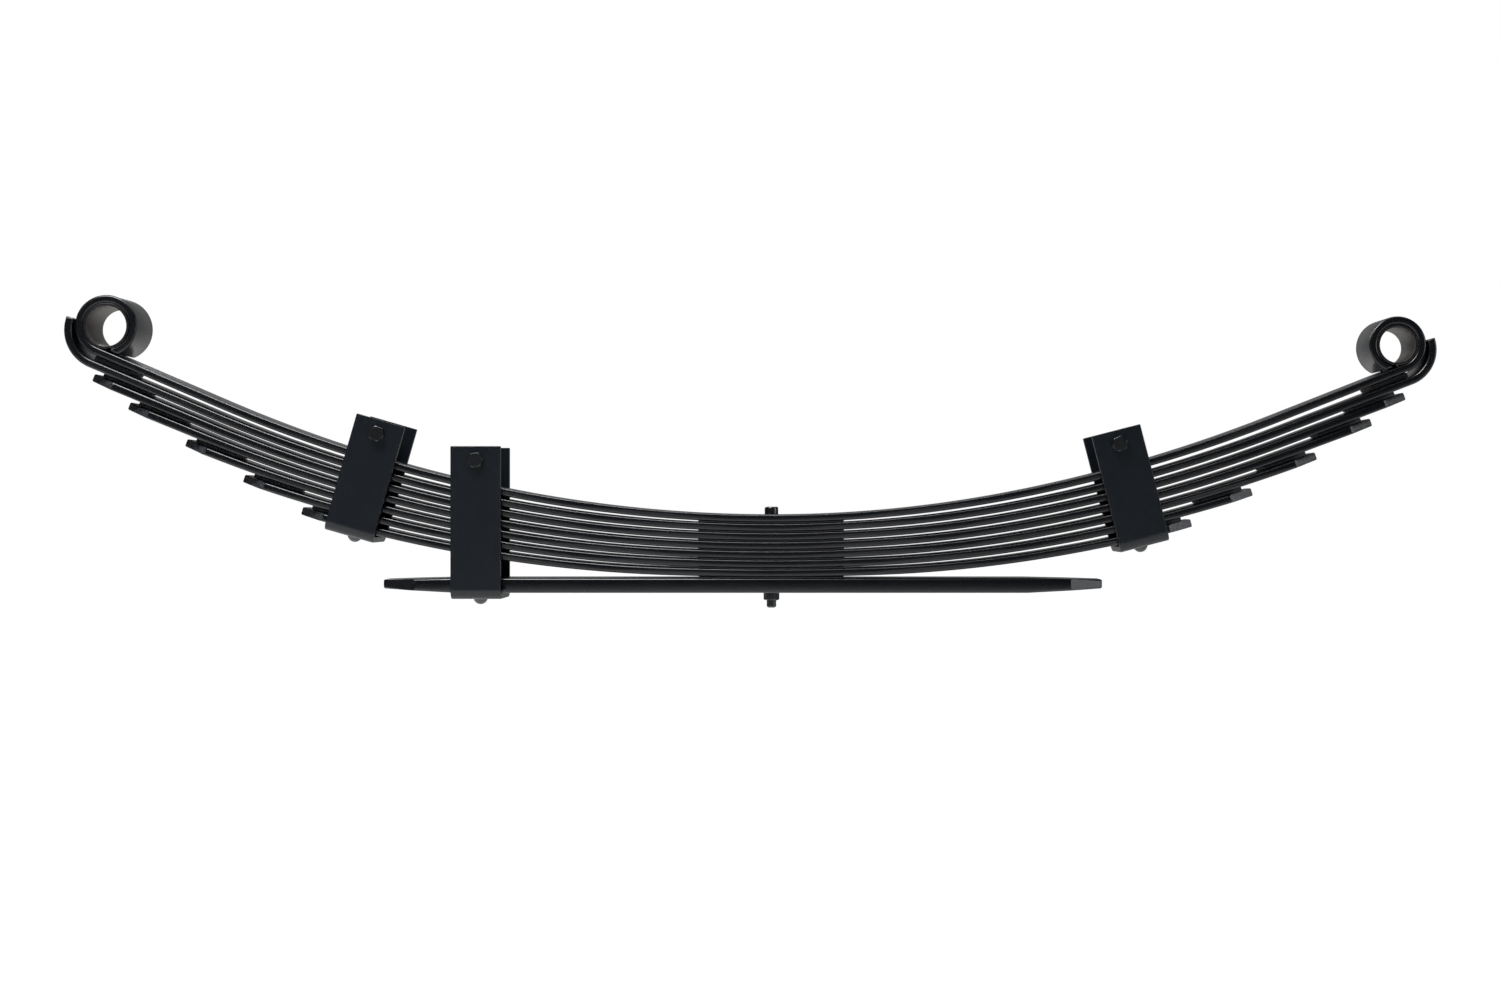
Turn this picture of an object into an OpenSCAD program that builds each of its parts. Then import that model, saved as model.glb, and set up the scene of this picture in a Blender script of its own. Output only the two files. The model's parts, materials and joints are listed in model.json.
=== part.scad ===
// Leaf spring: seven curved leaves over a flat overload leaf, held by a centre bolt
// and three clips. +X runs from the front eye to the rear eye, +Y away from the bolt
// heads of the clips and +Z up. The origin is on the centre bolt's axis, at the top
// face of the main leaf. Stations are lengths measured along a leaf's top face.

/* [Curved leaves] */
// Width of every leaf
leaf_w = 70; // [60:1:80]
// Thickness of a curved leaf
leaf_t = 8; // [6:0.5:10]
// Length of each half of a leaf that the axle seat covers
seat_len = 100; // [80:5:120]
// Front half: length of the inner arc, seat included
front_inner_len = 300; // [200:5:340]
// Front half: radius of the inner arc
front_inner_r = 1366; // [1100:2:1700]
// Front half: length of the outer arc
front_outer_len = 270; // [200:5:330]
// Front half: radius of the outer arc
front_outer_r = 1450; // [1200:5:2400]
// Rear half: length of the inner arc, seat included
rear_inner_len = 250; // [200:5:340]
// Rear half: radius of the inner arc
rear_inner_r = 1276; // [1100:2:1700]
// Rear half: length of the outer arc
rear_outer_len = 270; // [200:5:330]
// Rear half: radius of the outer arc
rear_outer_r = 1507; // [1200:5:2400]

/* [Leaf lengths] */
// Station where the front eye starts to roll
front_eye_start = 701; // [640:1:860]
// Station where the rear eye starts to roll
rear_eye_start = 657; // [600:1:800]
// Front tip of leaf 3
front_leaf_3 = 705; // [600:1:860]
// Front tip of leaf 4
front_leaf_4 = 665; // [560:1:820]
// Front tip of leaf 5
front_leaf_5 = 602; // [520:1:760]
// Front tip of leaf 6
front_leaf_6 = 539; // [500:1:700]
// Front tip of leaf 7
front_leaf_7 = 477; // [470:1:640]
// Rear tip of leaf 3
rear_leaf_3 = 656; // [560:1:800]
// Rear tip of leaf 4
rear_leaf_4 = 619; // [520:1:760]
// Rear tip of leaf 5
rear_leaf_5 = 559; // [490:1:700]
// Rear tip of leaf 6
rear_leaf_6 = 490; // [450:1:640]
// Rear tip of leaf 7
rear_leaf_7 = 426; // [420:1:600]
// Length of the diamond point cut on each leaf tip
point_len = 25; // [10:1:30]
// Width left at the end of a leaf tip
point_w = 34; // [20:1:50]

/* [Eyes] */
// Bore of the front eye sleeve
front_bore = 41; // [30:0.5:50]
// Bore of the rear eye sleeve
rear_bore = 36; // [26:0.5:46]
// Wall of the eye sleeves
sleeve_wall = 2.5; // [1.5:0.1:4]
// Gap between the eye's outside and the wrapper's curl, front
front_wrap_gap = 1.3; // [0.5:0.1:3]
// Gap between the eye's outside and the wrapper's curl, rear
rear_wrap_gap = 0.7; // [0.5:0.1:3]
// Turn of the wrapper round the eye, in degrees
wrap_turn = 88; // [60:1:120]

/* [Liners and pads] */
// Thickness of the centre liners
liner_t = 1.1; // [0.8:0.1:2]
// Length of the centre liners
liner_len = 146; // [100:2:180]
// Gap that the tip pads hold between the leaves
tip_gap = 4.5; // [3:0.1:7]
// Gap between the main leaf and the wrapper at their pads
wrapper_gap = 5.8; // [4:0.1:8]
// Length of a tip pad
pad_len = 45; // [30:1:50]
// Length of the pad under the main leaf
wrapper_pad_len = 38; // [30:1:50]
// Width of a tip pad
pad_w = 60; // [40:1:60]
// Distance from a leaf's tip to its pad
pad_setback = 9.5; // [8:0.5:20]
// Diameter of the peg under a tip pad
peg_d = 10; // [6:0.5:14]

/* [Overload leaf] */
// Thickness of the overload leaf
overload_t = 15; // [10:0.5:20]
// Front half length of the overload leaf
overload_front = 390; // [340:1:400]
// Rear half length of the overload leaf
overload_rear = 333; // [250:1:340]
// Length of the tapered ends
taper_len = 76; // [50:1:110]
// Thickness left at the tips
tip_t = 9.4; // [6:0.1:12]
// How much of the taper is taken off the top face
taper_top = 1.6; // [0.5:0.1:3]
// Length of the diamond point cut on the overload leaf
overload_point_len = 34; // [20:1:50]

/* [Clips] */
// Width of the clip bar
clip_w = 50; // [40:1:60]
// Thickness of the clip bar
clip_t = 6; // [4:0.5:8]
// Gap between the leaves' sides and the clip
clip_side_gap = 4; // [2:0.5:6]
// Station of the front clip on the shortest leaf
front_clip_at = 422; // [400:1:430]
// Station of the rear clip on the shortest leaf
rear_clip_at = 373; // [350:1:380]
// Distance from the centre bolt to the helper clip
helper_clip_at = 294.5; // [270:0.5:320]
// Height of the front and rear clip bolts over the main leaf
clip_bolt_rise = 22; // [12:0.5:40]
// Height of the helper clip's bolt over the main leaf
helper_bolt_rise = 22; // [12:0.5:40]
// Distance from the clip's top edge to its bolt
clip_bolt_drop = 14; // [12:0.5:18]
// Outer diameter of the spacer tubes
spacer_d = 16; // [14:0.5:20]
// Diameter of the rivet's head
rivet_head_d = 14.6; // [12:0.2:18]
// Height of the rivet's head
rivet_head_h = 6.4; // [4:0.2:8]
// Diameter of the rivet's shank
rivet_d = 8; // [6:0.5:10]

/* [Bolts] */
// Diameter of the centre bolt and the clip bolts
bolt_d = 9.5; // [8:0.5:12]
// Hexagon of bolt heads and nuts, across flats
hex_af = 14.3; // [13:0.1:18]
// Height of a nut
nut_h = 8.2; // [6:0.1:10]
// Height of a clip bolt's head
bolt_head_h = 6.2; // [5:0.1:8]
// Diameter of the centre bolt's round head
centre_head_d = 13.8; // [12:0.1:18]
// Height of the centre bolt's round head
centre_head_h = 7.7; // [5:0.1:12]
// Length of thread that stands out of the nuts
thread_out = 7.6; // [2:0.1:12]

/* [Hidden] */

// Ends of the spring, used as the first index of the lists below
front = 0;
rear = 1;
main = 1;
wrapper = 2;
last = 7;

black_paint = "#1c1f24";
black_plastic = "#121314";
bare_steel = "#6c6762";

// Clearances
press_gap = 0.05;
body_gap = 0.4;
hole_gap = 0.5;
scarf_gap = 1.2;
scarf_open = 21;
// How far a pad's corners are cut back from the leaf's point
pad_inset = 3;
round_fn = 96;
far = 200;
// Longest straight piece of a bent leaf, and the turn of each one round an eye
facet = 10;
ring_facet = 4;

pitch = leaf_t + liner_t;
inner_len = [front_inner_len, rear_inner_len];
inner_r = [front_inner_r, rear_inner_r];
outer_len = [front_outer_len, rear_outer_len];
outer_r = [front_outer_r, rear_outer_r];
eye_start = [front_eye_start, rear_eye_start];
bore = [front_bore, rear_bore];
wrap_gap = [front_wrap_gap, rear_wrap_gap];
tip_at = [
    [front_leaf_3, front_leaf_4, front_leaf_5, front_leaf_6, front_leaf_7],
    [rear_leaf_3, rear_leaf_4, rear_leaf_5, rear_leaf_6, rear_leaf_7]
];
overload_top = -last * pitch;
overload_bottom = overload_top - overload_t;
clip_inside = leaf_w + 2 * clip_side_gap;
clip_outside = clip_inside + 2 * clip_t;
// The bends start level with the leaves' sides, so that the base lies flat under them
clip_bend_r = clip_side_gap;

// ---- Geometry of a leaf's half, in its own plane: x outward, y up ----

function degrees(rad) = rad * 180 / PI;
function radians(deg) = deg * PI / 180;
function down(n) = (n - 1) * pitch;

// Where leaf n ends, and where its tip pad lies
function tip(n, e) = n <= wrapper ? eye_start[e] : tip_at[e][n - 3];
function pad_out(n, e) = n == wrapper ? eye_start[e] + 3 : tip(n, e) - pad_setback;
function pad_l(n) = n == wrapper ? wrapper_pad_len : pad_len;
function pad_mid(n, e) = pad_out(n, e) - pad_l(n) / 2;

// How much flatter than the leaf above it leaf n is at the seat, in degrees
function opening(n, e) =
    degrees(((n == wrapper ? wrapper_gap : tip_gap) - liner_t) / (pad_mid(n, e) - seat_len / 2));
function opened(n, e) = n <= main ? 0 : opening(n, e) + opened(n - 1, e);

// Turn, radius and length of the seat arc, the inner arc and the outer arc
function turn_of(n, e, k) =
    k == 0 ? degrees(seat_len / inner_r[e]) - opened(n, e)
    : k == 1 ? degrees((inner_len[e] - seat_len) / inner_r[e])
    : degrees(outer_len[e] / outer_r[e]);
function flat_len(e, k) =
    k == 0 ? seat_len : k == 1 ? inner_len[e] - seat_len : outer_len[e];
function r_of(n, e, k) = flat_len(e, k) / radians(turn_of(n, e, k)) + down(n);
function len_of(n, e, k) = r_of(n, e, k) * radians(turn_of(n, e, k));

// Station, slope and place where arc k starts; k = 3 is the straight tail
function station(n, e, k) = k == 0 ? 0 : station(n, e, k - 1) + len_of(n, e, k - 1);
function slope_at(n, e, k) = k == 0 ? 0 : slope_at(n, e, k - 1) + turn_of(n, e, k - 1);
function along(r, a, b) = r * [sin(b) - sin(a), cos(a) - cos(b)];
function place(n, e, k) =
    k == 0 ? [0, -down(n)]
    : place(n, e, k - 1) + along(r_of(n, e, k - 1), slope_at(n, e, k - 1), slope_at(n, e, k));

// Slope and place at any station s
function arc_at(n, e, s) =
    s < station(n, e, 1) ? 0 : s < station(n, e, 2) ? 1 : s < station(n, e, 3) ? 2 : 3;
function slope(n, e, s) =
    let (k = arc_at(n, e, s))
    k == 3 ? slope_at(n, e, 3)
    : slope_at(n, e, k) + degrees((s - station(n, e, k)) / r_of(n, e, k));
function point(n, e, s) =
    let (k = arc_at(n, e, s), a = slope_at(n, e, k))
    k == 3 ? place(n, e, 3) + (s - station(n, e, 3)) * [cos(a), sin(a)]
    : place(n, e, k) + along(r_of(n, e, k), a, slope(n, e, s));
function up(a) = [-sin(a), cos(a)];

// Eye of the main leaf: seat of the sleeve, and the eye's centre
function eye_r(e) = bore[e] / 2 + sleeve_wall + press_gap;
function tail(e) = slope_at(main, e, 3);
function eye(e) = point(main, e, eye_start[e]) + eye_r(e) * up(tail(e));

// Curl of the wrapper: its radius, its centre, and where it starts on the tail
function curl_r(e) = eye_r(e) + leaf_t + wrap_gap[e];
function wrapper_slope(e) = slope_at(wrapper, e, 3);
function curl_start(e) =
    station(wrapper, e, 3)
    + (eye(e) - place(wrapper, e, 3)) * [cos(wrapper_slope(e)), sin(wrapper_slope(e))];
function curl_centre(e) =
    point(wrapper, e, curl_start(e)) + curl_r(e) * up(wrapper_slope(e));

// The front and rear clips stand under the shortest leaf, square to the middle leaf:
// their station, tilt, and the middle of the base's inner face
function clip_at(e) = e == front ? front_clip_at : rear_clip_at;
function clip_tilt(e) = slope(4, e, clip_at(e));
function clip_foot(e) =
    let (at = clip_at(e), tilt = clip_tilt(e), lean = abs(tilt - slope(last, e, at)))
    point(last, e, at) - leaf_t * up(slope(last, e, at))
    - (body_gap + clip_w / 2 * sin(lean)) * up(tilt);

// Height of a clip's bolt over the inner face of its base, tied to the main leaf's top
function stack_over(foot, tilt, e, s) =
    let (miss = (point(main, e, s) - foot) * [cos(tilt), sin(tilt)])
    (point(main, e, s - miss) - foot) * up(tilt);
function clip_bolt_h(e) =
    stack_over(clip_foot(e), clip_tilt(e), e, clip_at(e)) + clip_bolt_rise;
function helper_bolt_h() =
    stack_over([helper_clip_at, overload_bottom], 0, front, helper_clip_at) + helper_bolt_rise;

// ---- Outlines in a half's plane ----

// Stations from s0 to s1, at whole facets and only where the leaf bends
function stations(n, e, s0, s1) =
    let (bent = min(s1, station(n, e, 3)), first = floor(s0 / facet) + 1, last = ceil(bent / facet) - 1)
    concat(
        [s0],
        [for (i = [first:1:last]) i * facet],
        s1 > bent && bent > s0 ? [bent] : [],
        [s1]
    );
function line(n, e, s0, s1, h) =
    [for (s = stations(n, e, s0, s1)) point(n, e, s) + h * up(slope(n, e, s))];
function reversed(list) = [for (i = [len(list) - 1:-1:0]) list[i]];

// Arc round c from turn a to turn b, both measured outward from straight down
function ring(c, r, a, b) =
    let (count = ceil(abs(b - a) / ring_facet))
    [for (i = [0:1:count]) let (t = a + (b - a) * i / count) c + r * [sin(t), -cos(t)]];

// The rolled eye, from the leaf's underside round to its top face; its end is cut off
// parallel to the leaf, which it clears
function rolled_eye(e) =
    let (c = eye(e), r = eye_r(e), a = tail(e), flat = r - scarf_gap)
    concat(
        ring(c, r + leaf_t, a, a + 360 - acos(flat / (r + leaf_t))),
        [c + flat / cos(scarf_open) * [-sin(scarf_open - a), -cos(scarf_open - a)]],
        ring(c, r, a + 360 - scarf_open, a)
    );

// The wrapper's curl round the eye
function curl(e) =
    let (c = curl_centre(e), r = curl_r(e), a = wrapper_slope(e))
    concat(ring(c, r + leaf_t, a, a + wrap_turn), ring(c, r, a + wrap_turn, a));

// Half of leaf n: out along its underside and back along its top face
function half_leaf(n, e) =
    let (s1 = n == wrapper ? curl_start(e) : tip(n, e))
    concat(
        line(n, e, 0, s1, -leaf_t),
        n == main ? rolled_eye(e) : n == wrapper ? curl(e) : [],
        reversed(line(n, e, 0, s1, 0))
    );

// Half of a strip on leaf n, between two heights over its top face
function half_strip(n, e, s0, s1, low, high) =
    concat(line(n, e, s0, s1, low), reversed(line(n, e, s0, s1, high)));

// Both halves, joined at the centre
function joined(rear_half, front_half) =
    concat(rear_half, [for (p = reversed(front_half)) [-p.x, p.y]]);

// A pad's outline: on leaf n, up to the underside of the leaf above it
module pad_outline(n, e) {
    s1 = pad_out(n, e);
    s0 = s1 - pad_l(n);
    difference() {
        polygon(half_strip(n, e, s0, s1, body_gap, 2 * wrapper_gap));
        polygon(half_strip(n - 1, e, s0 - pad_len, s1 + pad_len, -leaf_t - body_gap, leaf_t));
    }
}

// ---- From a half's plane into the spring's frame ----

// Half plane to solid of width w
module widen(w, e) {
    mirror([e == front ? 1 : 0, 0, 0])
        rotate([90, 0, 0])
            linear_extrude(w, center = true)
                children();
}

// Frame on leaf n at station s: x along the leaf, z off its top face
module on_leaf(n, e, s) {
    p = point(n, e, s);
    mirror([e == front ? 1 : 0, 0, 0])
        translate([p.x, 0, p.y])
            rotate([0, -slope(n, e, s), 0])
                children();
}

// What the diamond point takes off both sides of a tip; the tip is at x = 0
module point_cut(length) {
    past = 5;
    rise = past * (leaf_w - point_w) / 2 / length;
    for (side = [-1, 1])
        translate([0, 0, -leaf_w / 2])
            linear_extrude(leaf_w)
                polygon([
                    [-length - past, side * (leaf_w / 2 + rise)], [-length - past, side * leaf_w],
                    [past, side * leaf_w], [past, side * (point_w / 2 - rise)]
                ]);
}

module hole(d, h) {
    translate([0, 0, -h])
        cylinder(h = 2 * h, d = d, $fn = round_fn);
}

module bolt_hole() {
    hole(bolt_d + 2 * hole_gap, far);
}

// ---- Leaves ----

module leaf(n) {
    color(black_paint)
        difference() {
            widen(leaf_w, rear)
                polygon(joined(half_leaf(n, rear), half_leaf(n, front)));
            bolt_hole();
            for (e = [front, rear]) {
                if (n > wrapper)
                    on_leaf(n, e, tip(n, e))
                        point_cut(point_len);
                if (n > main)
                    on_leaf(n, e, pad_mid(n, e))
                        hole(peg_d + 2 * body_gap, 2 * leaf_t);
                if (n == last)
                    at_clip(e)
                        hole(rivet_d + 2 * body_gap, 4 * leaf_t);
            }
        }
}

module overload_leaf() {
    drop = overload_t - tip_t - taper_top;
    color(black_paint)
        difference() {
            widen(leaf_w, rear)
                polygon([
                    [-overload_front, overload_bottom + drop],
                    [-overload_front + taper_len, overload_bottom],
                    [overload_rear - taper_len, overload_bottom],
                    [overload_rear, overload_bottom + drop],
                    [overload_rear, overload_top - taper_top],
                    [overload_rear - taper_len, overload_top],
                    [-overload_front + taper_len, overload_top],
                    [-overload_front, overload_top - taper_top]
                ]);
            bolt_hole();
            translate([-helper_clip_at, 0, overload_top])
                hole(rivet_d + 2 * press_gap, 2 * overload_t);
            translate([overload_rear, 0, overload_top])
                point_cut(overload_point_len);
            translate([-overload_front, 0, overload_top])
                rotate([0, 0, 180])
                    point_cut(overload_point_len);
        }
}

// ---- Liners and pads ----

// Liner n lies on leaf n + 1
module liner(n) {
    half = liner_len / 2;
    color(black_plastic)
        difference() {
            widen(leaf_w, rear)
                polygon(joined(
                    half_strip(n + 1, rear, 0, half, press_gap, liner_t),
                    half_strip(n + 1, front, 0, half, press_gap, liner_t)
                ));
            bolt_hole();
        }
}

// The last liner lies on the flat overload leaf
module last_liner() {
    color(black_plastic)
        difference() {
            translate([0, 0, overload_top + liner_t / 2])
                cube([liner_len, leaf_w, liner_t], center = true);
            bolt_hole();
        }
}

module pad(n, e) {
    color(black_plastic) {
        difference() {
            widen(pad_w, e)
                pad_outline(n, e);
            if (n > wrapper)
                on_leaf(n, e, tip(n, e) - pad_inset)
                    point_cut(point_len);
        }
        on_leaf(n, e, pad_mid(n, e))
            translate([0, 0, -leaf_t])
                cylinder(h = leaf_t + 2 * body_gap, d = peg_d, $fn = round_fn);
    }
}

// ---- Eye sleeves ----

module eye_sleeve(e) {
    c = eye(e);
    color(bare_steel)
        translate([(e == front ? -1 : 1) * c.x, 0, c.y])
            rotate([90, 0, 0])
                difference() {
                    cylinder(h = leaf_w, r = eye_r(e) - press_gap, center = true, $fn = round_fn);
                    cylinder(h = leaf_w + 2, d = bore[e], center = true, $fn = round_fn);
                }
}

// ---- Bolts, nuts and rivets: each along its own z ----

// Hexagon with chamfered corners on its outer end, standing on z = 0
module hexagon(h) {
    corner = hex_af / cos(30) / 2;
    intersection() {
        rotate(8)
            cylinder(h = h, r = corner, $fn = 6);
        union() {
            cylinder(h = h - 1, r = corner + 1, $fn = round_fn);
            translate([0, 0, h - 1])
                cylinder(h = 1, r1 = corner, r2 = hex_af / 2 - 0.3, $fn = round_fn);
        }
    }
}

module shank(length) {
    chamfer = 1.2;
    cylinder(h = length - chamfer, d = bolt_d, $fn = round_fn);
    translate([0, 0, length - chamfer])
        cylinder(h = chamfer, d1 = bolt_d, d2 = bolt_d - 2 * chamfer, $fn = round_fn);
}

module nut() {
    color(black_paint)
        difference() {
            hexagon(nut_h);
            hole(bolt_d + 2 * press_gap, 2 * nut_h);
        }
}

module centre_bolt() {
    length = -overload_bottom + nut_h + thread_out;
    chamfer = 1;
    color(black_paint) {
        rotate([180, 0, 0])
            shank(length);
        cylinder(h = centre_head_h - chamfer, d = centre_head_d, $fn = round_fn);
        translate([0, 0, centre_head_h - chamfer])
            cylinder(h = chamfer, d1 = centre_head_d, d2 = centre_head_d - 2 * chamfer,
                $fn = round_fn);
    }
}

module centre_nut() {
    translate([0, 0, overload_bottom])
        rotate([180, 0, 0])
            nut();
}

// ---- Clips: each in a frame on the middle of its base's inner face, arms upward ----

module at_clip(e) {
    p = clip_foot(e);
    mirror([e == front ? 1 : 0, 0, 0])
        translate([p.x, 0, p.y])
            rotate([0, -clip_tilt(e), 0])
                children();
}

module at_helper() {
    translate([-helper_clip_at, 0, overload_bottom])
        children();
}

// Outline of the bent bar across the spring, with its bends rounded
module bend_outline(w, r) {
    translate([-w / 2, r])
        square([w, far]);
    translate([-w / 2 + r, 0])
        square([w - 2 * r, 2 * r]);
    for (side = [-1, 1])
        translate([side * (w / 2 - r), r])
            circle(r, $fn = round_fn);
}

module clip_bar(bolt_h) {
    color(black_paint)
        difference() {
            rotate([90, 0, 90])
                linear_extrude(clip_w, center = true)
                    intersection() {
                        difference() {
                            translate([0, -clip_t])
                                bend_outline(clip_outside, clip_bend_r + clip_t);
                            bend_outline(clip_inside, clip_bend_r);
                        }
                        translate([-clip_outside, -clip_t])
                            square([2 * clip_outside, clip_t + bolt_h + clip_bolt_drop]);
                    }
            hole(rivet_d + 2 * press_gap, 2 * clip_t);
            at_clip_bolt(bolt_h)
                hole(bolt_d + 2 * hole_gap, clip_outside);
        }
}

// Frame on the clip bolt's axis, z toward the nut
module at_clip_bolt(bolt_h) {
    translate([0, 0, bolt_h])
        rotate([-90, 0, 0])
            children();
}

module clip_bolt(bolt_h) {
    at_clip_bolt(bolt_h)
        translate([0, 0, -clip_outside / 2])
            color(black_paint) {
                rotate([180, 0, 0])
                    hexagon(bolt_head_h);
                shank(clip_outside + nut_h + 2);
            }
}

module clip_nut(bolt_h) {
    at_clip_bolt(bolt_h)
        translate([0, 0, clip_outside / 2])
            nut();
}

module clip_spacer(bolt_h) {
    color(black_paint)
        at_clip_bolt(bolt_h)
            difference() {
                cylinder(h = clip_inside, d = spacer_d, center = true, $fn = round_fn);
                cylinder(h = clip_inside + 2, d = bolt_d + 2 * hole_gap, center = true,
                    $fn = round_fn);
            }
}

// Rivet with a domed head under the clip's base; grip is how far its shank goes up
module clip_rivet(grip) {
    r = (pow(rivet_head_d / 2, 2) + pow(rivet_head_h, 2)) / (2 * rivet_head_h);
    color(black_paint) {
        translate([0, 0, -clip_t])
            cylinder(h = clip_t + grip, d = rivet_d, $fn = round_fn);
        intersection() {
            translate([0, 0, -clip_t - rivet_head_h + r])
                sphere(r, $fn = round_fn);
            translate([0, 0, -clip_t - rivet_head_h])
                cylinder(h = rivet_head_h, r = rivet_head_d, $fn = round_fn);
        }
    }
}

leaf_grip = leaf_t - 0.5;
overload_grip = overload_t - 0.5;

leaf(main);  // main_leaf
leaf(wrapper);  // wrapper_leaf
leaf(3);  // leaf_3
leaf(4);  // leaf_4
leaf(5);  // leaf_5
leaf(6);  // leaf_6
leaf(last);  // leaf_7
overload_leaf();
centre_bolt();
centre_nut();
liner(1);  // liner_1
liner(2);  // liner_2
liner(3);  // liner_3
liner(4);  // liner_4
liner(5);  // liner_5
liner(6);  // liner_6
last_liner();  // liner_7
eye_sleeve(front);  // front_eye_sleeve
eye_sleeve(rear);  // rear_eye_sleeve
pad(wrapper, front);  // front_pad_2
pad(3, front);  // front_pad_3
pad(4, front);  // front_pad_4
pad(5, front);  // front_pad_5
pad(6, front);  // front_pad_6
pad(last, front);  // front_pad_7
pad(wrapper, rear);  // rear_pad_2
pad(3, rear);  // rear_pad_3
pad(4, rear);  // rear_pad_4
pad(5, rear);  // rear_pad_5
pad(6, rear);  // rear_pad_6
pad(last, rear);  // rear_pad_7
at_clip(front) clip_bar(clip_bolt_h(front));  // front_clip
at_clip(front) clip_bolt(clip_bolt_h(front));  // front_clip_bolt
at_clip(front) clip_nut(clip_bolt_h(front));  // front_clip_nut
at_clip(front) clip_spacer(clip_bolt_h(front));  // front_clip_spacer
at_clip(front) clip_rivet(leaf_grip);  // front_clip_rivet
at_helper() clip_bar(helper_bolt_h());  // helper_clip
at_helper() clip_bolt(helper_bolt_h());  // helper_clip_bolt
at_helper() clip_nut(helper_bolt_h());  // helper_clip_nut
at_helper() clip_spacer(helper_bolt_h());  // helper_clip_spacer
at_helper() clip_rivet(overload_grip);  // helper_clip_rivet
at_clip(rear) clip_bar(clip_bolt_h(rear));  // rear_clip
at_clip(rear) clip_bolt(clip_bolt_h(rear));  // rear_clip_bolt
at_clip(rear) clip_nut(clip_bolt_h(rear));  // rear_clip_nut
at_clip(rear) clip_spacer(clip_bolt_h(rear));  // rear_clip_spacer
at_clip(rear) clip_rivet(leaf_grip);  // rear_clip_rivet
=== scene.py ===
import json
import math

import bpy
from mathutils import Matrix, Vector

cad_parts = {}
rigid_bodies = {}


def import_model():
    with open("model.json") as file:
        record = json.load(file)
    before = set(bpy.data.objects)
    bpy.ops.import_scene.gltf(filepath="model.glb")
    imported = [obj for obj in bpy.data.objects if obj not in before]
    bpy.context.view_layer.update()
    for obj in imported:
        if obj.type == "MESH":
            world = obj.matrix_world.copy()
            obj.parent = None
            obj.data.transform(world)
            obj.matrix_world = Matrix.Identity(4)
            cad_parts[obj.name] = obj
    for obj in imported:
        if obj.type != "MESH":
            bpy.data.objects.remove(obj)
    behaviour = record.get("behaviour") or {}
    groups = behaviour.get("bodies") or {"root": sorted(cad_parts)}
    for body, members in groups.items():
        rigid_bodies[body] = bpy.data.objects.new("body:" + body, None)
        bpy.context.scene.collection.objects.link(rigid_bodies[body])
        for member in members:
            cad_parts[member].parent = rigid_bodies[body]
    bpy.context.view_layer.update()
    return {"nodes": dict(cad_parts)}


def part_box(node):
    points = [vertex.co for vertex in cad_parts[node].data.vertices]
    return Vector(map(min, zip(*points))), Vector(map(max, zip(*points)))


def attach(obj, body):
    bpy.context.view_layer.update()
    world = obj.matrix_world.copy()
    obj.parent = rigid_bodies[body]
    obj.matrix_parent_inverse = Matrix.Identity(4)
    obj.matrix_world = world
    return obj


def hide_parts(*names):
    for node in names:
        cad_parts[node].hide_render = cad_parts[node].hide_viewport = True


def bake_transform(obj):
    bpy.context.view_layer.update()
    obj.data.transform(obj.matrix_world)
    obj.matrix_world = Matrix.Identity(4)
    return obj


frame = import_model()
nodes = frame["nodes"]
mm = 0.001
print("frame loaded")


# small helpers; settings are in millimetres and degrees, unless a note says otherwise

meshShape = {"mergeDistance": 0.002, "flatAngle": 0.06, "touching": 0.05, "normalWeight": 90}


def inMetres(v):
    return tuple(c * mm for c in v)


def middleOf(nodeName):
    low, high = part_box(nodeName)
    return Vector(low) * 0.5 + Vector(high) * 0.5


def deselectAll():
    for item in bpy.context.view_layer.objects:
        item.select_set(False)


def pickOnly(piece):
    deselectAll()
    piece.select_set(True)
    bpy.context.view_layer.objects.active = piece


def startEdit(piece, element, action="SELECT"):
    pickOnly(piece)
    bpy.ops.object.mode_set(mode="EDIT")
    bpy.ops.mesh.select_mode(type=element)
    bpy.ops.mesh.select_all(action=action)


def endEdit():
    bpy.ops.object.mode_set(mode="OBJECT")


def clearSelection(mesh):
    for group in (mesh.vertices, mesh.edges, mesh.polygons):
        group.foreach_set("select", [False] * len(group))


def facesByEdge(mesh):
    table = {}
    for face in mesh.polygons:
        for key in face.edge_keys:
            table.setdefault(key, []).append(face)
    return table


def selectEdges(piece, wanted, sharpness):
    # selects the sharp edges for which wanted(a, b) is true, a and b being the edge's ends
    mesh = piece.data
    clearSelection(mesh)
    table = facesByEdge(mesh)
    limit = math.cos(math.radians(sharpness))
    found = False
    for edge in mesh.edges:
        faces = table.get(tuple(sorted(edge.vertices)), [])
        if len(faces) != 2 or faces[0].normal.dot(faces[1].normal) > limit:
            continue
        a, b = (mesh.vertices[i].co for i in edge.vertices)
        if wanted(a, b):
            edge.select = True
            for i in edge.vertices:
                mesh.vertices[i].select = True
            found = True
    return found


def roundEdges(piece, radius, segments, wanted, sharpness=40):
    # bevels the wanted edges that are sharper than sharpness, in degrees
    startEdit(piece, "EDGE", "DESELECT")
    endEdit()
    if selectEdges(piece, wanted, sharpness):
        bpy.ops.object.mode_set(mode="EDIT")
        bpy.ops.mesh.bevel(offset=radius * mm, segments=segments, profile=0.5,
                           affect="EDGES", clamp_overlap=False)
        endEdit()


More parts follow.
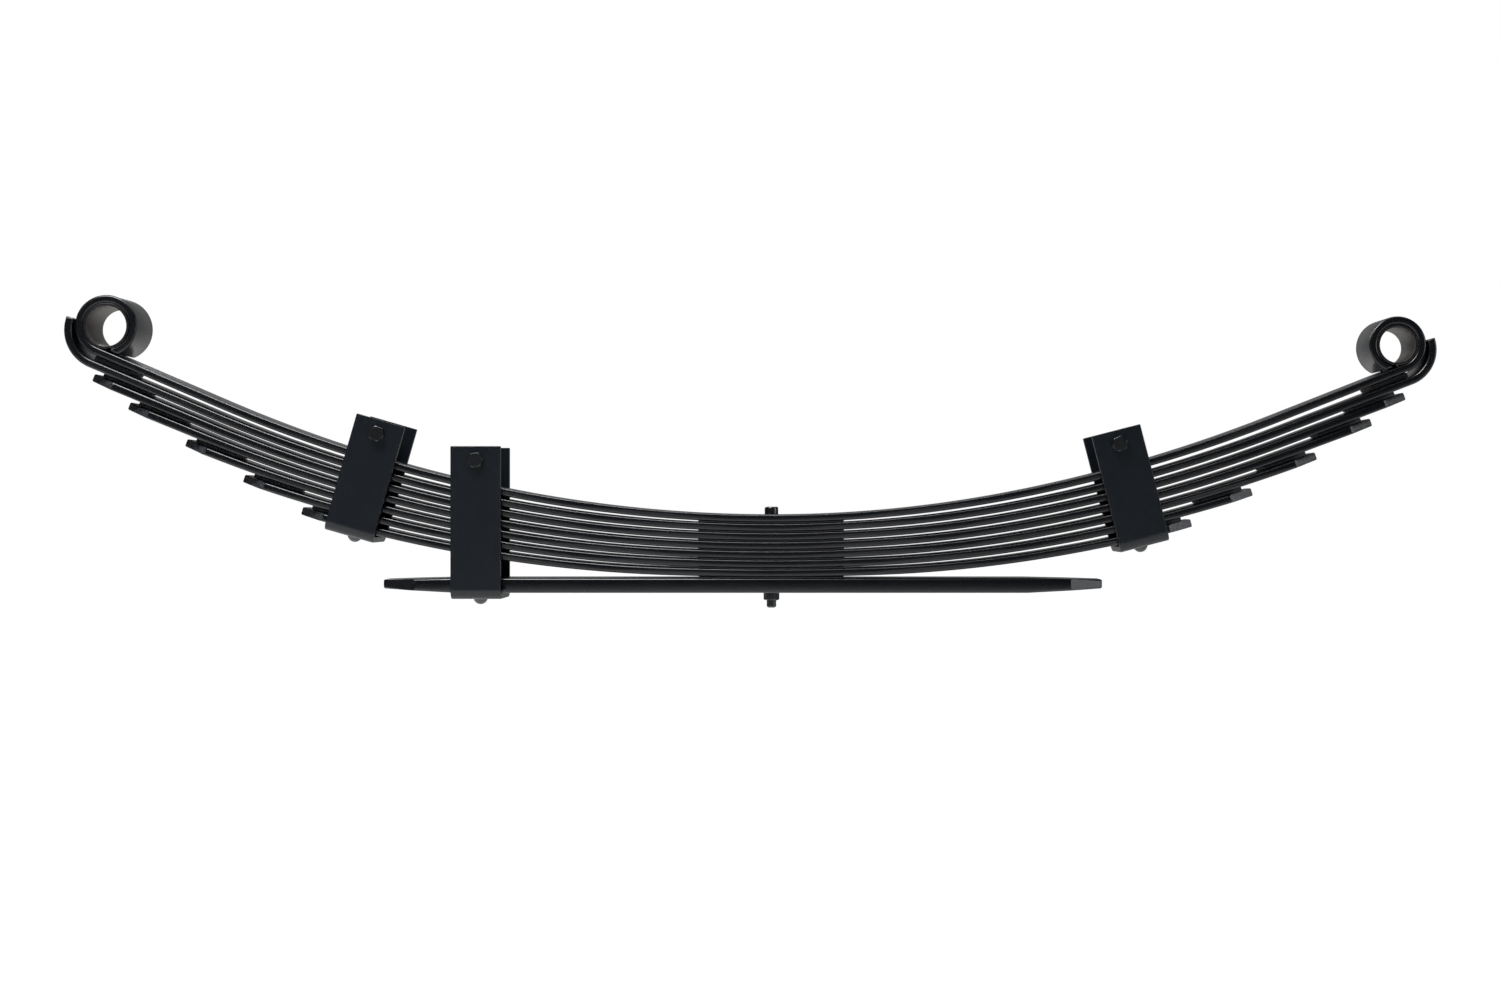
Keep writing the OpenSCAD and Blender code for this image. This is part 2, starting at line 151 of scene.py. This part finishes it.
def solidCopy(nodeName, pieceName):
    # an editable copy of a node: doubles merged and flat faces joined up again
    piece = nodes[nodeName].copy()
    piece.data = nodes[nodeName].data.copy()
    piece.name = piece.data.name = pieceName
    piece.parent = None
    for key in list(piece.keys()):
        del piece[key]
    piece.data.materials.clear()
    bpy.context.scene.collection.objects.link(piece)
    startEdit(piece, "VERT")
    if piece.data.has_custom_normals:
        bpy.ops.mesh.customdata_custom_splitnormals_clear()
    bpy.ops.mesh.remove_doubles(threshold=meshShape["mergeDistance"] * mm)
    bpy.ops.mesh.dissolve_limited(angle_limit=math.radians(meshShape["flatAngle"]))
    endEdit()
    return piece


def smooth(piece, angle):
    # shades smooth across edges flatter than angle, in degrees
    pickOnly(piece)
    bpy.ops.object.shade_smooth_by_angle(angle=math.radians(angle))


def evenNormals(piece):
    # large faces stay flat and only the small rounded ones curve
    pickOnly(piece)
    bpy.ops.object.modifier_add(type="WEIGHTED_NORMAL")
    modifier = piece.modifiers[-1]
    modifier.keep_sharp = True
    modifier.weight = meshShape["normalWeight"]
    bpy.ops.object.modifier_apply(modifier=modifier.name)


# materials

def newMaterial(name):
    material = bpy.data.materials.new(name)
    material.use_nodes = True
    tree = material.node_tree
    return material, tree, tree.nodes["Principled BSDF"]


def addNode(tree, kind, **values):
    node = tree.nodes.new(kind)
    for key, value in values.items():
        if key in node.inputs:
            node.inputs[key].default_value = value
        else:
            setattr(node, key, value)
    return node


def coordinates(tree):
    return addNode(tree, "ShaderNodeTexCoord").outputs["Object"]


def groupSockets(group, inputs, outputs):
    for name, kind, value in inputs:
        socket = group.interface.new_socket(name=name, in_out="INPUT", socket_type=kind)
        if value is not None:
            socket.default_value = value
    for name, kind in outputs:
        group.interface.new_socket(name=name, in_out="OUTPUT", socket_type=kind)


def makePaintGroup():
    # sprayed paint: slow cloudy variation, fine orange peel and a sprinkle of dust
    group = bpy.data.node_groups.new("sprayedPaint", "ShaderNodeTree")
    groupSockets(group, [
        ("Vector", "NodeSocketVector", None),
        ("Paint", "NodeSocketColor", (0.012, 0.014, 0.017, 1)),
        ("Dust", "NodeSocketColor", (0.06, 0.057, 0.05, 1)),
        ("Dust Amount", "NodeSocketFloat", 0.3),
        ("Roughness", "NodeSocketFloat", 0.4),
        ("Spread", "NodeSocketFloat", 0.1),
    ], [("Color", "NodeSocketColor"), ("Roughness", "NodeSocketFloat"), ("Height", "NodeSocketFloat")])
    link = group.links.new
    source = group.nodes.new("NodeGroupInput")
    target = group.nodes.new("NodeGroupOutput")
    clouds = addNode(group, "ShaderNodeTexNoise", Scale=9.0, Detail=5.0, Roughness=0.6)
    specks = addNode(group, "ShaderNodeTexNoise", Scale=420.0, Detail=3.0, Roughness=0.7)
    peel = addNode(group, "ShaderNodeTexNoise", Scale=700.0, Detail=1.5, Roughness=0.5)
    for texture in (clouds, specks, peel):
        link(source.outputs["Vector"], texture.inputs["Vector"])
    speckMask = addNode(group, "ShaderNodeMapRange", **{"From Min": 0.60, "From Max": 0.78})
    link(specks.outputs["Fac"], speckMask.inputs["Value"])
    cloudMask = addNode(group, "ShaderNodeMapRange", **{"From Min": 0.35, "From Max": 0.75})
    link(clouds.outputs["Fac"], cloudMask.inputs["Value"])
    both = addNode(group, "ShaderNodeMath", operation="MULTIPLY")
    link(speckMask.outputs["Result"], both.inputs[0])
    link(cloudMask.outputs["Result"], both.inputs[1])
    amount = addNode(group, "ShaderNodeMath", operation="MULTIPLY")
    link(both.outputs[0], amount.inputs[0])
    link(source.outputs["Dust Amount"], amount.inputs[1])
    mix = addNode(group, "ShaderNodeMix", data_type="RGBA")
    link(amount.outputs[0], mix.inputs["Factor"])
    link(source.outputs["Paint"], mix.inputs["A"])
    link(source.outputs["Dust"], mix.inputs["B"])
    link(mix.outputs["Result"], target.inputs["Color"])
    centred = addNode(group, "ShaderNodeMath", operation="SUBTRACT")
    link(clouds.outputs["Fac"], centred.inputs[0])
    centred.inputs[1].default_value = 0.5
    rough = addNode(group, "ShaderNodeMath", operation="MULTIPLY_ADD")
    link(centred.outputs[0], rough.inputs[0])
    link(source.outputs["Spread"], rough.inputs[1])
    link(source.outputs["Roughness"], rough.inputs[2])
    link(rough.outputs[0], target.inputs["Roughness"])
    link(peel.outputs["Fac"], target.inputs["Height"])
    return group


def makeGrindGroup():
    # grinding marks: fine scratches that run along the group's X
    group = bpy.data.node_groups.new("grindMarks", "ShaderNodeTree")
    groupSockets(group, [
        ("Vector", "NodeSocketVector", None),
        ("Dark", "NodeSocketColor", (0.02, 0.02, 0.022, 1)),
        ("Light", "NodeSocketColor", (0.09, 0.09, 0.09, 1)),
    ], [("Color", "NodeSocketColor"), ("Height", "NodeSocketFloat")])
    link = group.links.new
    source = group.nodes.new("NodeGroupInput")
    target = group.nodes.new("NodeGroupOutput")
    mapping = addNode(group, "ShaderNodeMapping", Scale=(60, 900, 900))
    link(source.outputs["Vector"], mapping.inputs["Vector"])
    marks = addNode(group, "ShaderNodeTexNoise", Scale=1.0, Detail=6.0, Roughness=0.65)
    link(mapping.outputs["Vector"], marks.inputs["Vector"])
    ramp = addNode(group, "ShaderNodeMapRange", **{"From Min": 0.38, "From Max": 0.66})
    link(marks.outputs["Fac"], ramp.inputs["Value"])
    mix = addNode(group, "ShaderNodeMix", data_type="RGBA")
    link(ramp.outputs["Result"], mix.inputs["Factor"])
    link(source.outputs["Dark"], mix.inputs["A"])
    link(source.outputs["Light"], mix.inputs["B"])
    link(mix.outputs["Result"], target.inputs["Color"])
    link(marks.outputs["Fac"], target.inputs["Height"])
    return group


paintGroup = makePaintGroup()
grindGroup = makeGrindGroup()


def bumpFrom(tree, shader, height, strength, depth):
    # depth is in millimetres
    bump = addNode(tree, "ShaderNodeBump", Strength=strength, Distance=depth * mm)
    tree.links.new(height, bump.inputs["Height"])
    tree.links.new(bump.outputs["Normal"], shader.inputs["Normal"])


def paintMaterial(name, paint, roughness, spread, dustAmount, bump, specular=0.5, depth=0.3):
    material, tree, shader = newMaterial(name)
    group = addNode(tree, "ShaderNodeGroup", node_tree=paintGroup)
    group.inputs["Paint"].default_value = (*paint, 1)
    group.inputs["Roughness"].default_value = roughness
    group.inputs["Spread"].default_value = spread
    group.inputs["Dust Amount"].default_value = dustAmount
    tree.links.new(coordinates(tree), group.inputs["Vector"])
    tree.links.new(group.outputs["Color"], shader.inputs["Base Color"])
    tree.links.new(group.outputs["Roughness"], shader.inputs["Roughness"])
    bumpFrom(tree, shader, group.outputs["Height"], bump, depth)
    shader.inputs["Specular IOR Level"].default_value = specular
    return material


def groundMaterial(name, dark, light, roughness, bump, metallic=0.0, depth=0.4):
    material, tree, shader = newMaterial(name)
    group = addNode(tree, "ShaderNodeGroup", node_tree=grindGroup)
    group.inputs["Dark"].default_value = (*dark, 1)
    group.inputs["Light"].default_value = (*light, 1)
    tree.links.new(coordinates(tree), group.inputs["Vector"])
    tree.links.new(group.outputs["Color"], shader.inputs["Base Color"])
    shader.inputs["Roughness"].default_value = roughness
    shader.inputs["Metallic"].default_value = metallic
    bumpFrom(tree, shader, group.outputs["Height"], bump, depth)
    return material


def mouldedMaterial(name, color, roughness, grain, bump, darkest=0.7, lightest=1.5, depth=0.4):
    # moulded rubber or plastic: fine grain between a darker and a lighter shade of the colour
    material, tree, shader = newMaterial(name)
    vector = coordinates(tree)
    noise = addNode(tree, "ShaderNodeTexNoise", Scale=grain, Detail=3.0, Roughness=0.6)
    tree.links.new(vector, noise.inputs["Vector"])
    mix = addNode(tree, "ShaderNodeMix", data_type="RGBA")
    mix.inputs["A"].default_value = (*[c * darkest for c in color], 1)
    mix.inputs["B"].default_value = (*[c * lightest for c in color], 1)
    tree.links.new(noise.outputs["Fac"], mix.inputs["Factor"])
    tree.links.new(mix.outputs["Result"], shader.inputs["Base Color"])
    shader.inputs["Roughness"].default_value = roughness
    bumpFrom(tree, shader, noise.outputs["Fac"], bump, depth)
    return material


paints = {
    "leafPaint": {"paint": (0.0024, 0.0026, 0.0036), "roughness": 0.24, "spread": 0.14,
                  "dustAmount": 0.14, "bump": 0.08, "specular": 0.6},
    "clipPaint": {"paint": (0.0012, 0.0030, 0.0058), "roughness": 0.36, "spread": 0.08,
                  "dustAmount": 0.08, "bump": 0.05},
    "hardwarePaint": {"paint": (0.0022, 0.0026, 0.0034), "roughness": 0.26, "spread": 0.12,
                      "dustAmount": 0.15, "bump": 0.08, "specular": 1.0},
    "sleevePaint": {"paint": (0.004, 0.004, 0.0045), "roughness": 0.34, "spread": 0.12,
                    "dustAmount": 0.2, "bump": 0.08},
}
groundSteels = {
    "tipGround": {"dark": (0.005, 0.005, 0.006), "light": (0.075, 0.077, 0.085),
                  "roughness": 0.30, "bump": 0.6},
    "sleeveSteel": {"dark": (0.050, 0.043, 0.038), "light": (0.17, 0.15, 0.135),
                    "roughness": 0.42, "bump": 0.12, "metallic": 0.6},
}
mouldings = {
    "padRubber": {"color": (0.0035, 0.0035, 0.004), "roughness": 0.6, "grain": 380.0, "bump": 0.3},
    "linerPlastic": {"color": (0.004, 0.004, 0.0045), "roughness": 0.5, "grain": 240.0, "bump": 0.15},
}


def makeAll(maker, settings):
    return {name: maker(name, **values) for name, values in settings.items()}


materials = {
    **makeAll(paintMaterial, paints),
    **makeAll(groundMaterial, groundSteels),
    **makeAll(mouldedMaterial, mouldings),
}
print("materials made")


def dress(piece, *names):
    piece.data.materials.clear()
    for name in names:
        piece.data.materials.append(materials[name])


# curved leaves: rolled bar with rounded edges, cut into two halves at the centre

leafShape = {
    "edgeRadius": 2.3,
    "edgeSegments": 4,
    "edgeSharpness": 30,
    "cutRadius": 1.3,
    "cutSegments": 2,
    "smoothAngle": 35,
    "bends": {
        "front": {"body": "front_end", "start": -75.0, "end": -371.0},
        "rear": {"body": "rear_end", "start": 80.0, "end": 330.0},
    },
}
tipShape = {"mirrored": 0.1, "acrossFrom": 12.0, "slantLength": 12.0, "slantWidth": 8.0,
            "groundArea": 50.0, "slope": 0.2, "sideSlope": 0.95}
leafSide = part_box("main_leaf")[1][1]    # metres from the middle to a side face


def isSideEdge(a, b):
    # an edge that lies in one side face, half the main leaf's width from the middle
    touching = meshShape["touching"] * mm
    return all(abs(abs(end.y) - leafSide) < touching for end in (a, b)) and a.y * b.y > 0


def isCutEdge(a, b):
    # edges of a tip: across the leaf or along the diamond cut, clear of the holes
    across = abs(a.y + b.y) < tipShape["mirrored"] * mm and abs(a.y) > tipShape["acrossFrom"] * mm
    long = abs(a.x - b.x) > tipShape["slantLength"] * mm
    return across or (long and abs(a.y - b.y) > tipShape["slantWidth"] * mm)


def markTips(piece):
    # the diamond faces of a tip get the ground finish, the piece's second material
    for face in piece.data.polygons:
        n = face.normal
        slanted = tipShape["slope"] < abs(n.y) < tipShape["sideSlope"] and abs(n.x) > tipShape["slope"]
        if slanted and face.area > tipShape["groundArea"] * mm * mm:
            face.material_index = 1


def roundLeaf(piece, shape):
    roundEdges(piece, shape["edgeRadius"], shape["edgeSegments"], isSideEdge, shape["edgeSharpness"])
    roundEdges(piece, shape["cutRadius"], shape["cutSegments"], isCutEdge)


def halfOf(whole, end, name):
    # keeps one half of a leaf and closes it at the centre
    piece = whole.copy()
    piece.data = whole.data.copy()
    piece.name = piece.data.name = name
    bpy.context.scene.collection.objects.link(piece)
    startEdit(piece, "VERT")
    bpy.ops.mesh.bisect(plane_co=(0, 0, 0), plane_no=(1, 0, 0), use_fill=True,
                        clear_outer=end == "front", clear_inner=end == "rear")
    endEdit()
    return piece


def makeLeaf(nodeName):
    whole = solidCopy(nodeName, nodeName + "Whole")
    dress(whole, "leafPaint", "tipGround")
    if nodeName.startswith("leaf_"):
        markTips(whole)
    roundLeaf(whole, leafShape)
    for end, bend in leafShape["bends"].items():
        half = halfOf(whole, end, nodeName + "_" + end)
        smooth(half, leafShape["smoothAngle"])
        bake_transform(half)
        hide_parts(nodeName)
    bpy.data.objects.remove(whole)


for nodeName in ["main_leaf", "wrapper_leaf", "leaf_3", "leaf_4", "leaf_5", "leaf_6", "leaf_7"]:
    makeLeaf(nodeName)
print("leaves made")


# overload leaf: one thick bar that stays straight

overloadShape = {"edgeRadius": 2.6, "edgeSegments": 4, "edgeSharpness": 30,
                 "cutRadius": 1.8, "cutSegments": 2, "smoothAngle": 35}


def makeOverload():
    piece = solidCopy("overload_leaf", "overloadLeaf")
    dress(piece, "leafPaint")
    roundLeaf(piece, overloadShape)
    smooth(piece, overloadShape["smoothAngle"])
    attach(piece, "centre")
    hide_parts("overload_leaf")


makeOverload()
print("overload leaf made")


# clips: bent bar with broken edges

clipShape = {"edgeRadius": 0.9, "edgeSegments": 3, "smoothAngle": 35, "boltClear": 8.4, "rivetClear": 16.8}
clipBodies = {"front_clip": "front_end", "helper_clip": "centre", "rear_clip": "rear_end"}


def makeClip(name, body):
    piece = solidCopy(name, name + "Bar")
    bolt = middleOf(name + "_bolt")
    rivet = middleOf(name + "_rivet")

    def clearOfHoles(a, b):
        middle = (a + b) / 2
        fromBolt = math.hypot(middle.x - bolt.x, middle.z - bolt.z)
        fromRivet = (middle - rivet).length
        return fromBolt > clipShape["boltClear"] * mm and fromRivet > clipShape["rivetClear"] * mm

    roundEdges(piece, clipShape["edgeRadius"], clipShape["edgeSegments"], clearOfHoles)
    dress(piece, "clipPaint")
    smooth(piece, clipShape["smoothAngle"])
    evenNormals(piece)
    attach(piece, body)
    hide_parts(name)


for name, body in clipBodies.items():
    makeClip(name, body)
print("clips made")


# eye sleeves: painted end faces with a broken edge, bare bore

sleeveShape = {"edgeRadius": 0.6, "edgeSegments": 2, "edgeSharpness": 30, "smoothAngle": 40, "rimSlope": 0.3}


def makeSleeve(nodeName, body):
    # a sleeve is as wide as its leaf, so its rims are side edges too
    piece = solidCopy(nodeName, nodeName + "Tube")
    roundEdges(piece, sleeveShape["edgeRadius"], sleeveShape["edgeSegments"], isSideEdge,
               sleeveShape["edgeSharpness"])
    dress(piece, "sleeveSteel", "sleevePaint")
    for face in piece.data.polygons:
        if abs(face.normal.y) > sleeveShape["rimSlope"]:
            face.material_index = 1
    smooth(piece, sleeveShape["smoothAngle"])
    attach(piece, body)
    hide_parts(nodeName)


makeSleeve("front_eye_sleeve", "front_end")
makeSleeve("rear_eye_sleeve", "rear_end")
print("sleeves made")


# bolts, nuts and rivets: broken edges, and a thread on what stands out of the centre nut

hardwareShape = {"edgeRadius": 0.5, "edgeSegments": 2, "smoothAngle": 40}
threadShape = {"pitch": 1.25, "height": 0.42, "radius": 4.75, "plainTip": 1.2, "runOut": 0.5,
               "stepsPerTurn": 20}


def makeHardware(nodeName, body):
    piece = solidCopy(nodeName, nodeName + "Part")
    roundEdges(piece, hardwareShape["edgeRadius"], hardwareShape["edgeSegments"], lambda a, b: True)
    dress(piece, "hardwarePaint")
    smooth(piece, hardwareShape["smoothAngle"])
    evenNormals(piece)
    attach(piece, body)
    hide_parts(nodeName)


def makeThread(name, body, start, direction, length):
    # a ridge wound round the shank from start along direction; start and length are in metres
    pitch = threadShape["pitch"] * mm
    turns = length / pitch - threadShape["runOut"]
    deselectAll()
    bpy.ops.mesh.primitive_circle_add(vertices=3, radius=threadShape["height"] * mm,
                                      location=(0, 0, 0), rotation=(math.radians(90), 0, 0))
    ridge = bpy.context.object
    ridge.name = ridge.data.name = name
    startEdit(ridge, "VERT")
    bpy.ops.transform.translate(value=(threadShape["radius"] * mm, 0, 0))
    endEdit()
    bpy.ops.object.transform_apply(location=False, rotation=True, scale=True)
    bpy.ops.object.modifier_add(type="SCREW")
    screw = ridge.modifiers[-1]
    screw.axis = "Z"
    screw.angle = 2 * math.pi * turns
    screw.screw_offset = pitch * turns
    screw.steps = screw.render_steps = int(threadShape["stepsPerTurn"] * turns)
    bpy.ops.object.modifier_apply(modifier=screw.name)
    ridge.rotation_euler = Vector(direction).to_track_quat("Z", "Y").to_euler()
    ridge.location = start
    bpy.ops.object.transform_apply(location=True, rotation=True, scale=True)
    startEdit(ridge, "VERT")
    bpy.ops.mesh.normals_make_consistent(inside=False)
    endEdit()
    dress(ridge, "hardwarePaint")
    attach(ridge, body)


for name, body in clipBodies.items():
    for part in ("_bolt", "_nut", "_rivet"):
        makeHardware(name + part, body)
for nodeName in ("centre_bolt", "centre_nut"):
    makeHardware(nodeName, "centre")

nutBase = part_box("centre_nut")[0][2]
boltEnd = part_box("centre_bolt")[0][2]
threadLength = nutBase - boltEnd - threadShape["plainTip"] * mm
makeThread("centreThread", "centre", (0, 0, nutBase), (0, 0, -1), threadLength)
print("hardware made")


# tip pads: moulded rubber with soft edges

padShape = {"edgeRadius": 0.7, "edgeSegments": 2, "edgeSharpness": 50, "smoothAngle": 40, "pegZone": 8.0}


def isOutsidePeg(a, b):
    # the edges round the peg stay as they are
    return max(abs(a.y), abs(b.y)) > padShape["pegZone"] * mm


def makePad(nodeName, body):
    piece = solidCopy(nodeName, nodeName + "Block")
    roundEdges(piece, padShape["edgeRadius"], padShape["edgeSegments"], isOutsidePeg,
               padShape["edgeSharpness"])
    dress(piece, "padRubber")
    smooth(piece, padShape["smoothAngle"])
    evenNormals(piece)
    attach(piece, body)
    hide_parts(nodeName)


for end in ("front", "rear"):
    for number in range(2, 8):    # every curved leaf but the main one carries a pad
        makePad("%s_pad_%d" % (end, number), end + "_end")
print("pads made")


# nodes that keep their shape get their finishes

finishes = {"liner_": "linerPlastic", "spacer": "hardwarePaint"}
for nodeName, node in nodes.items():
    for part, material in finishes.items():
        if part in nodeName:
            dress(node, material)
print("finishes set")


# floor, lights, camera; the floor's size is in metres

stageShape = {"floorDrop": 520.0, "floorSize": 120.0, "floorColor": (0.9, 0.9, 0.9), "floorRoughness": 0.9,
              "floorGlow": 0.06, "backdrop": (1, 1, 1), "roomColor": (0.75, 0.88, 1.0), "roomStrength": 0.045}


def seenByCamera(tree):
    return addNode(tree, "ShaderNodeLightPath").outputs["Is Camera Ray"]


def makeFloor():
    # to the camera the floor is as white as the backdrop, so no horizon shows
    bpy.ops.mesh.primitive_plane_add(size=stageShape["floorSize"],
                                     location=(0, 0, -stageShape["floorDrop"] * mm))
    floor = bpy.context.object
    floor.name = "floor"
    material, tree, shader = newMaterial("floorPaint")
    shader.inputs["Base Color"].default_value = (*stageShape["floorColor"], 1)
    shader.inputs["Roughness"].default_value = stageShape["floorRoughness"]
    shader.inputs["Emission Color"].default_value = (*stageShape["backdrop"], 1)
    glow = addNode(tree, "ShaderNodeMath", operation="MAXIMUM")
    tree.links.new(seenByCamera(tree), glow.inputs[0])
    glow.inputs[1].default_value = stageShape["floorGlow"]
    tree.links.new(glow.outputs[0], shader.inputs["Emission Strength"])
    floor.data.materials.append(material)


def makeWorld():
    # white to the camera, and a dim cool room to the object
    world = bpy.data.worlds.new("studio")
    bpy.context.scene.world = world
    world.use_nodes = True
    tree = world.node_tree
    tree.nodes.clear()
    out = tree.nodes.new("ShaderNodeOutputWorld")
    backdrop = addNode(tree, "ShaderNodeBackground", Strength=1.0)
    backdrop.inputs["Color"].default_value = (*stageShape["backdrop"], 1)
    room = addNode(tree, "ShaderNodeBackground", Strength=stageShape["roomStrength"])
    room.inputs["Color"].default_value = (*stageShape["roomColor"], 1)
    mix = tree.nodes.new("ShaderNodeMixShader")
    tree.links.new(seenByCamera(tree), mix.inputs["Fac"])
    tree.links.new(room.outputs["Background"], mix.inputs[1])
    tree.links.new(backdrop.outputs["Background"], mix.inputs[2])
    tree.links.new(mix.outputs["Shader"], out.inputs["Surface"])


# places, aims and sizes in metres, power in watts
lightSet = {
    "overhead": {"at": (-0.85, -1.1, 2.0), "aim": (-0.85, 0, 0), "size": (1.5, 1.0),
                 "power": 78, "color": (0.95, 0.97, 1.0)},
    "leftFront": {"at": (-2.6, -2.2, 1.8), "aim": (-0.3, 0, 0), "size": (1.0, 1.4),
                  "power": 4, "color": (0.85, 0.93, 1.0)},
    "right": {"at": (3.2, -1.1, 0.5), "aim": (0.3, 0, 0), "size": (1.2, 1.6),
              "power": 20, "color": (0.94, 0.97, 1.0)},
    "top": {"at": (0.5, 0.9, 2.4), "aim": (0.3, 0, 0), "size": (2.4, 1.0),
            "power": 24, "color": (1.0, 0.98, 0.95)},
    "backHigh": {"at": (-1.6, 2.2, 1.6), "aim": (0, 0, 0), "size": (1.8, 1.2),
                 "power": 26, "color": (1.0, 0.98, 0.96)},
    "behind": {"at": (0, 2.6, 0.5), "aim": (0, 0, 0.1), "size": (4.4, 1.8),
               "power": 5.5, "color": (1.0, 0.985, 0.95)},
}


def makeLights():
    for name, light in lightSet.items():
        bpy.ops.object.light_add(type="AREA", location=light["at"])
        lamp = bpy.context.object
        lamp.name = name
        lamp.data.shape = "RECTANGLE"
        lamp.data.size, lamp.data.size_y = light["size"]
        lamp.data.energy = light["power"]
        lamp.data.color = light["color"]
        lamp.visible_camera = False
        towards = Vector(light["aim"]) - Vector(light["at"])
        lamp.rotation_euler = towards.to_track_quat("-Z", "Y").to_euler()


# frameWidth is what the lens takes in at distance, where the leaves' near sides are; clipEnd is in metres
cameraShape = {"at": (34.94, -2775.0, 7.3), "distance": 2740.0, "frameWidth": 1500.0, "sensor": 36.0,
               "shiftX": -0.0373, "shiftY": 0.0047, "clipEnd": 60}


def makeCamera():
    bpy.ops.object.camera_add(location=inMetres(cameraShape["at"]), rotation=(math.radians(90), 0, 0))
    camera = bpy.context.object
    camera.data.sensor_width = cameraShape["sensor"]
    camera.data.lens = cameraShape["sensor"] * cameraShape["distance"] / cameraShape["frameWidth"]
    camera.data.shift_x = cameraShape["shiftX"]
    camera.data.shift_y = cameraShape["shiftY"]
    camera.data.clip_end = cameraShape["clipEnd"]
    bpy.context.scene.camera = camera


makeFloor()
makeWorld()
makeLights()
makeCamera()
bpy.context.scene.view_settings.view_transform = "Standard"
print("stage made")
